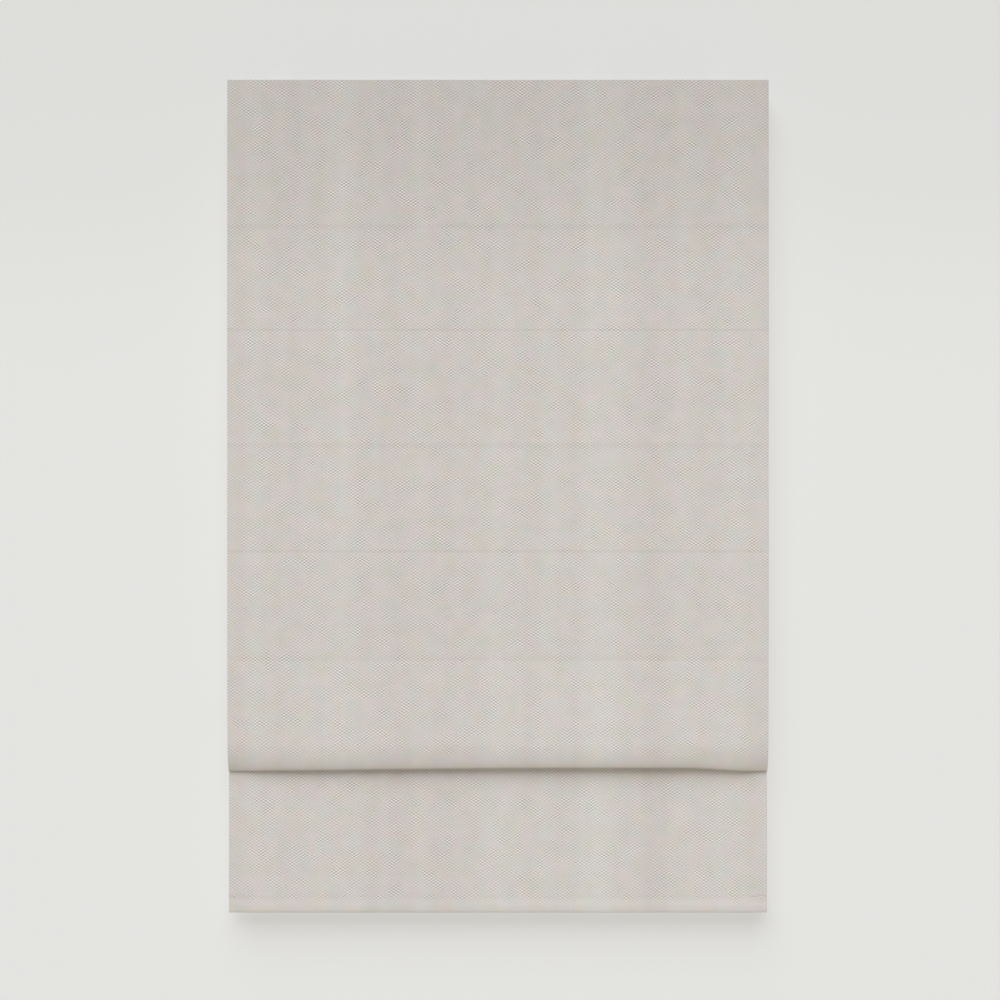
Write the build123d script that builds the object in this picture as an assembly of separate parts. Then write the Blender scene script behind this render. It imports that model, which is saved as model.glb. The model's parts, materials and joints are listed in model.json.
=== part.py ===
from build123d import *
import os

# Roman blind with its lowest pleat folded, hung from a headrail with a spring motor.
# The origin is the middle of the four bracket screws, on the face that meets the window head.
# X runs across the width, the front faces -Y and +Z is up.

# Cloth
cloth_width = 914.0
cloth_drop = 1410.5
cloth_thickness = 0.8
side_hem_width = 30.0
top_section = 246.0
pleat_pitch = 368.0
first_crease_share = 0.485
second_crease_share = 0.5
crease_bow = 2.5
fold_length = 178.0
fold_depth = 19.0
fold_rounding = 26.0
flap_lean = 3.0
ridge_gap = 2.0
hem_height = 26.0
hem_allowance = 5.0
sew_gap = 0.3

# Rods, their pockets and tips
rod_radius = 2.5
rod_inset = 8.0
rod_stack_gap = 15.0
pocket_clearance = 0.4
pocket_wall = 0.6
pocket_flange = 6.0
tip_radius = 3.3
tip_length = 9.0
tip_cover = 6.0
tip_clearance = 0.05
tip_edge = 0.8

# Weight bar in the bottom hem
bar_thickness = 4.0
bar_height = 18.0
bar_inset = 10.0
bar_clearance = 0.4
bar_corner = 1.2

# Headrail, end caps and brackets
headrail_depth = 50.0
headrail_height = 38.0
headrail_wall = 1.4
headrail_corner = 1.2
headrail_lip = 9.0
cap_flange = 3.0
cap_plug = 14.0
cap_wall = 1.6
cap_clearance = 0.15
cap_edge = 0.8
cloth_overhang = 1.0
bracket_inset = 77.0
bracket_width = 30.0
bracket_depth = 46.0
bracket_thickness = 1.6
bracket_corner = 3.0
hook_clearance = 0.3
hook_reach = 5.0
screw_spacing = 16.0
screw_hole_radius = 2.3

# Hook and loop strips
strip_height = 20.0
strip_thickness = 1.6
strip_margin = 4.0

# Lift cords, rings and beads
cord_inset = 157.0
cord_radius = 0.6
cord_hole_clearance = 0.9
cord_turns = 6
ring_wire = 0.9
ring_clearance = 0.6
bead_radius = 2.6
bead_height = 6.0
bead_bore_clearance = 0.15

# Lift shaft, spools and cradles
shaft_side = 6.0
shaft_overhang = 12.0
shaft_height = 18.0
square_clearance = 0.1
running_clearance = 0.08
winding_clearance = 0.3
barrel_radius = 8.0
barrel_length = 26.0
spool_flange_radius = 11.5
spool_flange = 1.6
journal_radius = 5.5
end_play = 0.4
cheek_thickness = 3.0
cheek_rise = 9.0
cradle_base = 2.0
cradle_clearance = 0.3
throat_share = 0.88
slot_length = 14.0
slot_width = 9.0
nose_clearance = 0.3
nose_drop = 1.2

# Spring motor
motor_share = 0.5
motor_wall = 2.4
spring_width = 24.0
spring_strip = 0.3
coil_radius = 7.0
coil_clearance = 0.3
output_drum_radius = 5.6
storage_drum_radius = 4.0
storage_journal_radius = 3.0
drum_flange_radius = 7.6
drum_flange = 1.4
drum_spacing = 15.6
drum_clearance = 0.5

cut_overrun = 1.0

# Places across the width
half_width = cloth_width / 2
headrail_end = half_width - cloth_overhang - cap_flange
rod_end = half_width - rod_inset
bracket_offset = half_width - bracket_inset
cord_offset = half_width - cord_inset
motor_offset = motor_share * cord_offset
pocket_end = rod_end - tip_cover - sew_gap
cord_places = {"left": -cord_offset, "middle": 0, "right": cord_offset}

# Places in height
headrail_top = -bracket_thickness
headrail_bottom = headrail_top - headrail_height
channel_floor = headrail_bottom + headrail_wall
lip_underside = headrail_top - headrail_wall
cloth_top = headrail_top
hem_bottom = cloth_top - cloth_drop
first_rod_z = cloth_top - top_section
second_rod_z = first_rod_z - pleat_pitch
third_rod_z = second_rod_z - pleat_pitch
lowest_rod_z = third_rod_z - rod_stack_gap
first_crease_z = first_rod_z - first_crease_share * pleat_pitch
second_crease_z = second_rod_z - second_crease_share * pleat_pitch
fold_centre_z = third_rod_z - fold_length + fold_rounding
pocket_radius = rod_radius + pocket_clearance + pocket_wall
ridge_radius = ridge_gap / 2
ridge_z = lowest_rod_z - pocket_radius - sew_gap - 2 * cloth_thickness - ridge_radius
shaft_z = channel_floor + shaft_height

# Places in depth, from the cloth's face backwards
headrail_front = -headrail_depth / 2
face_y = headrail_front - 2 * strip_thickness - sew_gap - cloth_thickness
flap_y = face_y - flap_lean
fold_centre_y = flap_y + fold_depth / 2
back_layer_y = flap_y + fold_depth
lowest_rod_y = back_layer_y + ridge_radius
skirt_y = back_layer_y + ridge_gap
rod_y = face_y + 2 * cloth_thickness + sew_gap + pocket_radius
cord_y = lowest_rod_y
ring_front = rod_y + pocket_radius + sew_gap
ring_back = cord_y + cord_radius + ring_clearance + 2 * ring_wire
ring_radius = (ring_back - ring_front) / 2 - ring_wire
ring_y = (ring_front + ring_back) / 2
winding_inner = barrel_radius + winding_clearance
shaft_y = cord_y + winding_inner + cord_radius
storage_y = shaft_y + drum_spacing
channel_half = headrail_depth / 2 - headrail_wall


def block(x0, x1, y0, y1, z0, z1):
    """A box between two corners."""
    return Pos((x0 + x1) / 2, (y0 + y1) / 2, (z0 + z1) / 2) * Box(x1 - x0, y1 - y0, z1 - z0)


def round_bar(x0, x1, y, z, radius):
    """A round bar along X."""
    return Pos((x0 + x1) / 2, y, z) * Rot(0, 90, 0) * Cylinder(radius, x1 - x0)


def post(x, y, z0, z1, radius):
    """A round post along Z."""
    return Pos(x, y, (z0 + z1) / 2) * Cylinder(radius, z1 - z0)


def run(section, x0, x1):
    """A section drawn in Y and Z, run from x0 to x1."""
    return Pos(x0, 0, 0) * extrude(Plane.YZ * section, amount=x1 - x0)


def area(y0, y1, z0, z1):
    """A rectangle in Y and Z."""
    return Pos((y0 + y1) / 2, (z0 + z1) / 2) * Rectangle(y1 - y0, z1 - z0)


def polygon(points):
    """A face in Y and Z inside the given points."""
    return make_face(Polyline(*points, close=True))


def turn_under(y, z, depth, height, thickness):
    """The lower half of an oval ring in Y and Z, where the cloth turns under."""
    ring = Ellipse(depth / 2, height) - Ellipse(depth / 2 - thickness, height - thickness)
    return Pos(y, z) * (ring & Pos(0, -height / 2) * Rectangle(depth, height))


def turn_over(y, z, inner, thickness):
    """The upper half of a round ring in Y and Z, where the cloth turns over."""
    outer = inner + thickness
    ring = Circle(outer) - Circle(inner)
    return Pos(y, z) * (ring & Pos(0, outer / 2) * Rectangle(2 * outer, outer))


# Blind cloth

def pleated_section(thickness):
    """The cloth's section from its top edge, round the fold and over the ridge, down to the hem seam."""
    face = [
        (face_y, cloth_top),
        (face_y, first_rod_z),
        (face_y - crease_bow, first_crease_z),
        (face_y, second_rod_z),
        (face_y - crease_bow, second_crease_z),
        (face_y, third_rod_z),
        (flap_y, fold_centre_z),
    ]
    back = [(y + thickness, z) for y, z in reversed(face)]
    front_panel = polygon(face + back)
    fold = turn_under(fold_centre_y, fold_centre_z, fold_depth, fold_rounding, thickness)
    back_layer = area(back_layer_y - thickness, back_layer_y, fold_centre_z, ridge_z)
    ridge = turn_over(lowest_rod_y, ridge_z, ridge_radius, thickness)
    skirt = area(skirt_y, skirt_y + thickness, hem_bottom + hem_height, ridge_z)
    return front_panel + fold + back_layer + ridge + skirt


hem_room = bar_thickness + 2 * bar_clearance
hem_inner_y = skirt_y + cloth_thickness
hem_back_y = hem_inner_y + hem_room
hem_centre_z = hem_bottom + cloth_thickness + hem_room / 2
hem_seam_z = hem_bottom + hem_height
bar_top = hem_centre_z + bar_height


def hem_section():
    """The bottom hem: the cloth turned up behind itself and stitched along the seam, round the weight bar."""
    closing_z = bar_top + bar_clearance
    front = area(skirt_y, hem_inner_y, hem_centre_z, hem_seam_z)
    turn_y = hem_inner_y + hem_room / 2
    turn_height = hem_room / 2 + cloth_thickness
    turn = turn_under(turn_y, hem_centre_z, 2 * turn_height, turn_height, cloth_thickness)
    back = area(hem_back_y, hem_back_y + cloth_thickness, hem_centre_z, closing_z)
    closing = polygon([
        (hem_back_y, closing_z),
        (hem_inner_y, hem_seam_z),
        (hem_inner_y, hem_seam_z + hem_allowance),
        (hem_inner_y + cloth_thickness, hem_seam_z + hem_allowance),
        (hem_inner_y + cloth_thickness, hem_seam_z),
        (hem_back_y + cloth_thickness, closing_z),
    ])
    return front + turn + back + closing


def make_cloth():
    cloth = run(pleated_section(cloth_thickness), -half_width, half_width)
    cloth += run(hem_section(), -half_width, half_width)
    doubled = pleated_section(2 * cloth_thickness)
    cloth += run(doubled, -half_width, side_hem_width - half_width)
    cloth += run(doubled, half_width - side_hem_width, half_width)
    return cloth


# Rods with their pockets, tips, rings and beads

def make_pocket(y, z, flange):
    """A sewn sleeve round a rod, with the flange that is stitched to the cloth."""
    sleeve = Pos(y, z) * Circle(pocket_radius) + flange
    sleeve -= Pos(y, z) * Circle(pocket_radius - pocket_wall)
    return run(sleeve, -pocket_end, pocket_end)


def make_tips(y, z):
    """The moulded tips on both ends of a rod."""
    tip = round_bar(rod_end - tip_cover, rod_end - tip_cover + tip_length, y, z, tip_radius)
    tip = fillet(tip.edges().sort_by(Axis.X)[-1:], tip_edge)
    tip -= round_bar(rod_end - tip_cover - cut_overrun, rod_end, y, z, rod_radius + tip_clearance)
    return tip + mirror(tip, about=Plane.YZ)


def make_rings(z):
    """One ring behind the pocket for each lift cord."""
    rings = [Pos(x, ring_y, z) * Torus(ring_radius, ring_wire) for x in cord_places.values()]
    return Part() + rings


def make_beads():
    """The beads that end the lift cords, on top of the lowest rod's pocket."""
    foot = lowest_rod_z + pocket_radius + sew_gap
    bead = fillet(post(0, cord_y, foot, foot + bead_height, bead_radius).edges(), bead_radius / 2)
    bead -= post(0, cord_y, foot, foot + bead_height + cut_overrun, cord_radius + bead_bore_clearance)
    return Part() + [Pos(x, 0, 0) * bead for x in cord_places.values()]


def make_rod_set(name, y, z, flange):
    return {
        f"{name}_rod": round_bar(-rod_end, rod_end, y, z, rod_radius),
        f"{name}_rod_pocket": make_pocket(y, z, flange),
        f"{name}_rod_tips": make_tips(y, z),
    }


def make_weight_bar():
    y = hem_inner_y + bar_clearance
    section = RectangleRounded(bar_thickness, bar_height, bar_corner)
    section = Pos(y + bar_thickness / 2, hem_centre_z + bar_height / 2) * section
    return run(section, bar_inset - half_width, half_width - bar_inset)


# Headrail, caps, brackets and strips

def make_headrail():
    """A channel with two inward lips, open at its top, with a slot in its floor for each cord."""
    section = RectangleRounded(headrail_depth, headrail_height, headrail_corner)
    section -= Rectangle(2 * channel_half, headrail_height - 2 * headrail_wall)
    mouth = headrail_depth / 2 - headrail_lip
    section -= Pos(0, headrail_height / 2) * Rectangle(2 * mouth, 2 * headrail_wall + cut_overrun)
    section = Pos(0, headrail_bottom + headrail_height / 2) * section
    rail = run(section, -headrail_end, headrail_end)
    for x in cord_places.values():
        rail -= block(
            x - slot_length / 2, x + slot_length / 2,
            cord_y - slot_width / 2, cord_y + slot_width / 2,
            headrail_bottom - cut_overrun, channel_floor + cut_overrun,
        )
    return rail


def make_cap():
    """The right-hand end cap: a flange over the channel's end and a hollow plug inside it."""
    flange = run(
        Pos(0, headrail_bottom + headrail_height / 2)
        * RectangleRounded(headrail_depth, headrail_height, headrail_corner),
        headrail_end, headrail_end + cap_flange,
    )
    flange = fillet(flange.faces().sort_by(Axis.X)[-1].edges(), cap_edge)
    side = channel_half - cap_clearance
    low = channel_floor + cap_clearance
    high = lip_underside - cap_clearance
    plug = block(headrail_end - cap_plug, headrail_end, -side, side, low, high)
    plug -= block(
        headrail_end - cap_plug - cut_overrun, headrail_end,
        cap_wall - side, side - cap_wall, low + cap_wall, high - cap_wall,
    )
    return flange + plug


def make_bracket(x):
    """A folded plate with two screw holes, and a hook under each lip of the headrail."""
    plate = extrude(RectangleRounded(bracket_width, bracket_depth, bracket_corner), amount=-bracket_thickness)
    for y in (-screw_spacing / 2, screw_spacing / 2):
        plate -= post(0, y, -bracket_thickness - cut_overrun, cut_overrun, screw_hole_radius)
    mouth = headrail_depth / 2 - headrail_lip
    web_y = mouth - hook_clearance
    foot_top = lip_underside - hook_clearance
    foot_bottom = foot_top - bracket_thickness
    half = bracket_width / 2 - bracket_corner
    hook = block(-half, half, web_y - bracket_thickness, web_y, foot_bottom, -bracket_thickness)
    hook += block(-half, half, web_y - bracket_thickness, mouth + hook_reach, foot_bottom, foot_top)
    return Pos(x, 0, 0) * (plate + hook + mirror(hook, about=Plane.XZ))


def make_strip(front, end):
    """A flat strip near the top, with its front face at the given depth."""
    top = headrail_top - strip_margin
    return block(-end, end, front, front + strip_thickness, top - strip_height, top)


# Lift shaft, spools, cradles and cords

spool_half = barrel_length / 2 + spool_flange
cheek_inner = spool_half + end_play
cheek_outer = cheek_inner + cheek_thickness
bore_side = shaft_side + 2 * square_clearance


def square_bore(x0, x1):
    return block(
        x0 - cut_overrun, x1 + cut_overrun,
        shaft_y - bore_side / 2, shaft_y + bore_side / 2,
        shaft_z - bore_side / 2, shaft_z + bore_side / 2,
    )


def make_shaft():
    end = cord_offset + cheek_outer + shaft_overhang
    side = shaft_side / 2
    return block(-end, end, shaft_y - side, shaft_y + side, shaft_z - side, shaft_z + side)


def make_spool(x):
    """A flanged spool with a journal at each end and a square bore for the shaft."""
    spool = round_bar(-spool_half, spool_half, shaft_y, shaft_z, spool_flange_radius)
    groove = round_bar(-barrel_length / 2, barrel_length / 2, shaft_y, shaft_z, spool_flange_radius + cut_overrun)
    groove -= round_bar(-barrel_length / 2, barrel_length / 2, shaft_y, shaft_z, barrel_radius)
    spool -= groove
    spool += round_bar(-cheek_outer, cheek_outer, shaft_y, shaft_z, journal_radius)
    return Pos(x, 0, 0) * (spool - square_bore(-cheek_outer, cheek_outer))


def make_cradle(x):
    """Two cheeks that carry the spool's journals, on a base with a nose through the headrail's slot."""
    side = channel_half - cradle_clearance
    top = shaft_z + cheek_rise
    cradle = block(-cheek_outer, cheek_outer, -side, side, channel_floor, channel_floor + cradle_base)
    bore = journal_radius + running_clearance
    throat = bore * throat_share
    for x0, x1 in ((-cheek_outer, -cheek_inner), (cheek_inner, cheek_outer)):
        cheek = block(x0, x1, -side, side, channel_floor, top)
        cheek -= round_bar(x0 - cut_overrun, x1 + cut_overrun, shaft_y, shaft_z, bore)
        cheek -= block(
            x0 - cut_overrun, x1 + cut_overrun,
            shaft_y - throat, shaft_y + throat, shaft_z, top + cut_overrun,
        )
        cradle += cheek
    nose_x = slot_length / 2 - nose_clearance
    nose_y = slot_width / 2 - nose_clearance
    cradle += block(
        -nose_x, nose_x, cord_y - nose_y, cord_y + nose_y,
        headrail_bottom - nose_drop, channel_floor + cradle_base,
    )
    cradle -= post(
        0, cord_y, headrail_bottom - nose_drop - cut_overrun, channel_floor + cradle_base + cut_overrun,
        cord_radius + cord_hole_clearance,
    )
    return Pos(x, 0, 0) * cradle


def make_cord(x):
    """A lift cord: its turns on the spool, then straight down to the lowest rod."""
    turns = cord_turns * cord_radius
    winding = round_bar(-turns, turns, shaft_y, shaft_z, winding_inner + 2 * cord_radius)
    winding -= round_bar(-turns - cut_overrun, turns + cut_overrun, shaft_y, shaft_z, winding_inner)
    foot = lowest_rod_z + pocket_radius + sew_gap
    return Pos(x, 0, 0) * (winding + post(0, cord_y, foot, shaft_z, cord_radius))


# Spring motor

drum_half = spring_width / 2 + end_play + drum_flange
motor_inner = drum_half + end_play
motor_outer = motor_inner + motor_wall
drum_room = drum_flange_radius + drum_clearance
motor_front = shaft_y - drum_room - motor_wall
motor_back = storage_y + drum_room + motor_wall


def make_drum(y, barrel, journal):
    """A flanged drum with a journal at each end."""
    drum = round_bar(-drum_half, drum_half, y, shaft_z, drum_flange_radius)
    inside = drum_half - drum_flange
    groove = round_bar(-inside, inside, y, shaft_z, drum_flange_radius + cut_overrun)
    drum -= groove - round_bar(-inside, inside, y, shaft_z, barrel)
    return drum + round_bar(-motor_outer, motor_outer, y, shaft_z, journal)


def make_output_drum():
    drum = make_drum(shaft_y, output_drum_radius, journal_radius)
    return Pos(motor_offset, 0, 0) * (drum - square_bore(-motor_outer, motor_outer))


def make_storage_drum():
    return Pos(motor_offset, 0, 0) * make_drum(storage_y, storage_drum_radius, storage_journal_radius)


def make_spring():
    """The flat spring: a coil on each drum and the strip that runs between them."""
    half = spring_width / 2
    spring = block(-half, half, shaft_y, storage_y, shaft_z + coil_radius - spring_strip, shaft_z + coil_radius)
    for y in (shaft_y, storage_y):
        spring += round_bar(-half, half, y, shaft_z, coil_radius)
    for y, barrel in ((shaft_y, output_drum_radius), (storage_y, storage_drum_radius)):
        spring -= round_bar(-half - cut_overrun, half + cut_overrun, y, shaft_z, barrel + coil_clearance)
    return Pos(motor_offset, 0, 0) * spring


def make_motor_shell(low, high):
    """The part of the motor's housing between two heights, with its share of the drums' bores."""
    shell = block(-motor_outer, motor_outer, motor_front, motor_back, low, high)
    shell -= block(
        -motor_inner, motor_inner, shaft_y - drum_room, storage_y + drum_room,
        shaft_z - drum_room, shaft_z + drum_room,
    )
    for y, journal in ((shaft_y, journal_radius), (storage_y, storage_journal_radius)):
        shell -= round_bar(
            -motor_outer - cut_overrun, motor_outer + cut_overrun, y, shaft_z, journal + running_clearance
        )
    return shell


def make_motor_base():
    """The lower half of the housing, hollow underneath."""
    base = make_motor_shell(channel_floor, shaft_z)
    base -= block(
        -motor_inner, motor_inner, motor_front + motor_wall, motor_back - motor_wall,
        channel_floor - cut_overrun, shaft_z - drum_room - motor_wall,
    )
    return Pos(motor_offset, 0, 0) * base


def make_motor_cover():
    return Pos(motor_offset, 0, 0) * make_motor_shell(shaft_z, shaft_z + drum_room + motor_wall)


# All pieces by name

pieces = {
    "blind_cloth": make_cloth(),
    "weight_bar": make_weight_bar(),
    "headrail": make_headrail(),
    "headrail_cap_right": make_cap(),
    "headrail_cap_left": mirror(make_cap(), about=Plane.YZ),
    "bracket_left": make_bracket(-bracket_offset),
    "bracket_right": make_bracket(bracket_offset),
    "hook_strip": make_strip(headrail_front - strip_thickness, headrail_end),
    "loop_strip": make_strip(headrail_front - 2 * strip_thickness, half_width - side_hem_width - sew_gap),
    "lift_shaft": make_shaft(),
    "output_drum": make_output_drum(),
    "storage_drum": make_storage_drum(),
    "motor_spring": make_spring(),
    "spring_motor_base": make_motor_base(),
    "spring_motor_cover": make_motor_cover(),
    "cord_beads": make_beads(),
}
for name, z in (("first", first_rod_z), ("second", second_rod_z), ("third", third_rod_z)):
    front = rod_y - pocket_radius
    upper_flange = area(front, front + pocket_wall, z, z + pocket_radius + pocket_flange)
    pieces |= make_rod_set(name, rod_y, z, upper_flange)
    pieces[f"{name}_rod_rings"] = make_rings(z)
back = lowest_rod_y + pocket_radius
lower_flange = area(back - pocket_wall, back, lowest_rod_z - pocket_radius - pocket_flange, lowest_rod_z)
pieces |= make_rod_set("lowest", lowest_rod_y, lowest_rod_z, lower_flange)
for side, x in cord_places.items():
    pieces[f"cord_spool_{side}"] = make_spool(x)
    pieces[f"cord_cradle_{side}"] = make_cradle(x)
    pieces[f"lift_cord_{side}"] = make_cord(x)

os.makedirs("parts", exist_ok=True)
for name, shape in pieces.items():
    export_step(shape, f"parts/{name}.step")
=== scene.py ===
import json
import math

import bmesh
import bpy
from mathutils import Matrix, Vector, noise


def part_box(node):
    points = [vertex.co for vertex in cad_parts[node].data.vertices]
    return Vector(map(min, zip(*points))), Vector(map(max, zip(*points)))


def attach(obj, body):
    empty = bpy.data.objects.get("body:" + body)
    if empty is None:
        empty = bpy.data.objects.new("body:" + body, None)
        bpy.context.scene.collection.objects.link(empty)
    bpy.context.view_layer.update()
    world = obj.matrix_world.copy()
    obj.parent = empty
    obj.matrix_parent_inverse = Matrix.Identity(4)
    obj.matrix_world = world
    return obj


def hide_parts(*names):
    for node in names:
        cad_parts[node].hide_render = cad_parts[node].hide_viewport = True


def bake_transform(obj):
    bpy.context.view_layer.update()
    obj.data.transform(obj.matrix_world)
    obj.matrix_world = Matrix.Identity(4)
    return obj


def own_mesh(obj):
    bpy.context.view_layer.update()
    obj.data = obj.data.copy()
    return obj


# The looks of a roman blind with its lowest pleat folded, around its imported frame.
# Metres; X runs across the width, the front faces -Y and +Z is up.

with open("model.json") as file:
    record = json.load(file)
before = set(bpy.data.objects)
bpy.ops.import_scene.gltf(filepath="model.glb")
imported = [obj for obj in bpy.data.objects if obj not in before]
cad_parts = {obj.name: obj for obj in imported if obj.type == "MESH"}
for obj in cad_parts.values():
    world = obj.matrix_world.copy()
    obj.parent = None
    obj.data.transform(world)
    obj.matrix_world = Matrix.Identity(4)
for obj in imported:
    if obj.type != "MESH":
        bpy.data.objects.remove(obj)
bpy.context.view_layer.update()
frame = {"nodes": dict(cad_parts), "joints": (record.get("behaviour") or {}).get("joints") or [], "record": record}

MM = 0.001


# Places taken from the frame

def middle(node):
    low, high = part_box(node)
    return (low + high) / 2


sides = ("left", "middle", "right")
upper_rods = ("first", "second", "third")
rod_z = {name: middle(f"{name}_rod").z for name in (*upper_rods, "lowest")}
rod_y = middle("first_rod").y
lowest_rod_y = middle("lowest_rod").y
cord_x = {side: middle(f"cord_spool_{side}").x for side in sides}
shaft = middle("lift_shaft")
cloth_low, cloth_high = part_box("blind_cloth")
half_width = cloth_high.x
cloth_top = cloth_high.z
hem_bottom = cloth_low.z
bar_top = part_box("weight_bar")[1].z
travel = {
    joint["name"]: max(abs(end) for end in joint["range_m"])
    for joint in frame["joints"] if "range_m" in joint
}

# The cloth's own sizes
cloth_thickness = 0.8 * MM
sew_gap = 0.3 * MM
turn_radius = 0.85 * MM
side_hem_width = 30 * MM
crease_share = {"first": 0.485, "second": 0.5}
pleat_bow = {"first": 1.6 * MM, "second": 0.5 * MM}
fold_length = 181.1 * MM
fold_lean = math.radians(29)
ridge_radius = 1 * MM
ridge_drop = 6.4 * MM
ridge_reach = 5.5 * MM
rod_clear = 60 * MM
hem_swell = 0.7 * MM
hem_swell_start = 4 * MM
hem_swell_end = 14 * MM
hem_lean = 0.2
hem_curve = 7.5 * MM
hem_turn = 1.2 * MM
hem_depth = 8.4 * MM
hem_height = 26 * MM
hem_allowance = 5 * MM
hem_sew_gap = 0.1 * MM
bar_clear = 1 * MM

# Where the cloth's lines lie
face_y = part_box("loop_strip")[0].y - sew_gap - cloth_thickness
fold_bottom = rod_z["third"] - fold_length
skirt_y = lowest_rod_y + ridge_radius
ridge_z = rod_z["lowest"] - ridge_drop
crease_z = {
    name: rod_z[name] - crease_share[name] * (rod_z[name] - rod_z[below])
    for name, below in (("first", "second"), ("second", "third"))
}
hem_seam_z = hem_bottom + hem_height

# The weave: its bumps of yarn, from one to the next in their row, and the threads in them
weave_across = 7.52 * MM
weave_along = 5.0 * MM
warp_pitch = 0.94 * MM
weft_pitch = 1.25 * MM

# Where the weave is fainter, and how far it takes to fade in: pressed flatter in the side hems, the hem and on the
# fold's flap, and as painted shade in the band about the fold's lowest line, where its shadow falls
flat_side = half_width - side_hem_width + 2 * MM
flat_side_fade = 8 * MM
flat_hem_fade = 4 * MM
pressed_and_shaded_reach = 29 * MM
pressed_and_shaded_fade = 14 * MM
flat_flap_y = skirt_y - 4 * MM
flat_flap_fade = 2 * MM


# Shader sums

class Value:
    """One socket of a look, so that shader sums read as plain sums."""

    def __init__(self, look, socket):
        self.look = look
        self.socket = socket

    def __add__(self, other):
        return self.look.math("ADD", self, other)

    def __sub__(self, other):
        return self.look.math("SUBTRACT", self, other)

    def __rsub__(self, other):
        return self.look.math("SUBTRACT", other, self)

    def __mul__(self, other):
        return self.look.math("MULTIPLY", self, other)

    def __truediv__(self, other):
        return self.look.math("DIVIDE", self, other)

    __radd__ = __add__
    __rmul__ = __mul__


class Look:
    """A procedural look: a finish of the blind, the stage or the sky."""

    def __init__(self, owner):
        self.owner = owner
        owner.use_nodes = True
        self.tree = owner.node_tree
        self.tree.nodes.clear()

    def node(self, kind, settings=None, sockets=None, out=0):
        made = self.tree.nodes.new("ShaderNode" + kind)
        for name, setting in (settings or {}).items():
            setattr(made, name, setting)
        for key, value in (sockets or {}).items():
            if isinstance(value, Value):
                self.tree.links.new(value.socket, made.inputs[key])
            else:
                made.inputs[key].default_value = value
        if isinstance(out, tuple):
            return tuple(Value(self, made.outputs[key]) for key in out)
        return Value(self, made.outputs[out])

    def math(self, operation, *values):
        return self.node("Math", {"operation": operation}, dict(enumerate(values)))

    def clamp(self, value):
        return self.node("Clamp", sockets={"Value": value})

    def wave(self, value, pitch):
        return self.math("COSINE", value * (2 * math.pi / pitch))

    def noise(self, place, scale, detail=2.0, roughness=0.5):
        return self.node("TexNoise", sockets={
            "Vector": place, "Scale": scale, "Detail": detail, "Roughness": roughness})

    def patches(self, place, scale, sharp, less, detail=2.0):
        """Patches from 0 to 1: sharper edged with a larger sharp, fewer with a larger less."""
        return self.clamp(self.noise(place, scale, detail) * sharp - less)

    def stretch(self, place, across, deep, high):
        return self.multiply(place, (across, deep, high))

    def multiply(self, first, second):
        return self.node("VectorMath", {"operation": "MULTIPLY"}, {0: first, 1: second})

    def mix(self, share, first, second):
        return self.node("Mix", {"data_type": "RGBA"}, {0: share, 6: first, 7: second}, out=2)

    def scale(self, colour, share):
        return self.node("VectorMath", {"operation": "SCALE"}, {0: colour, "Scale": share})

    def object_place(self):
        return self.node("TexCoord", out="Object")

    def flat_place(self):
        return self.node("UVMap", {"uv_map": "cloth"})

    def parts(self, place, *axes):
        return self.node("SeparateXYZ", sockets={0: place}, out=axes)

    def bump(self, height, distance, strength=1.0):
        return self.node("Bump", sockets={"Height": height, "Distance": distance, "Strength": strength})

    def finish(self, **sockets):
        named = {name.replace("_", " "): value for name, value in sockets.items()}
        shader = self.node("BsdfPrincipled", sockets=named)
        self.node("OutputMaterial", sockets={"Surface": shader}, out=())
        return self.owner


def finish_look(name):
    return Look(bpy.data.materials.new(name))


def paint(red, green, blue):
    """A colour as it is seen, 0 to 255, for a shader."""
    def linear(level):
        level /= 255
        return level / 12.92 if level <= 0.04045 else ((level + 0.055) / 1.055) ** 2.4
    return (linear(red), linear(green), linear(blue), 1.0)


# Finishes

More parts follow.
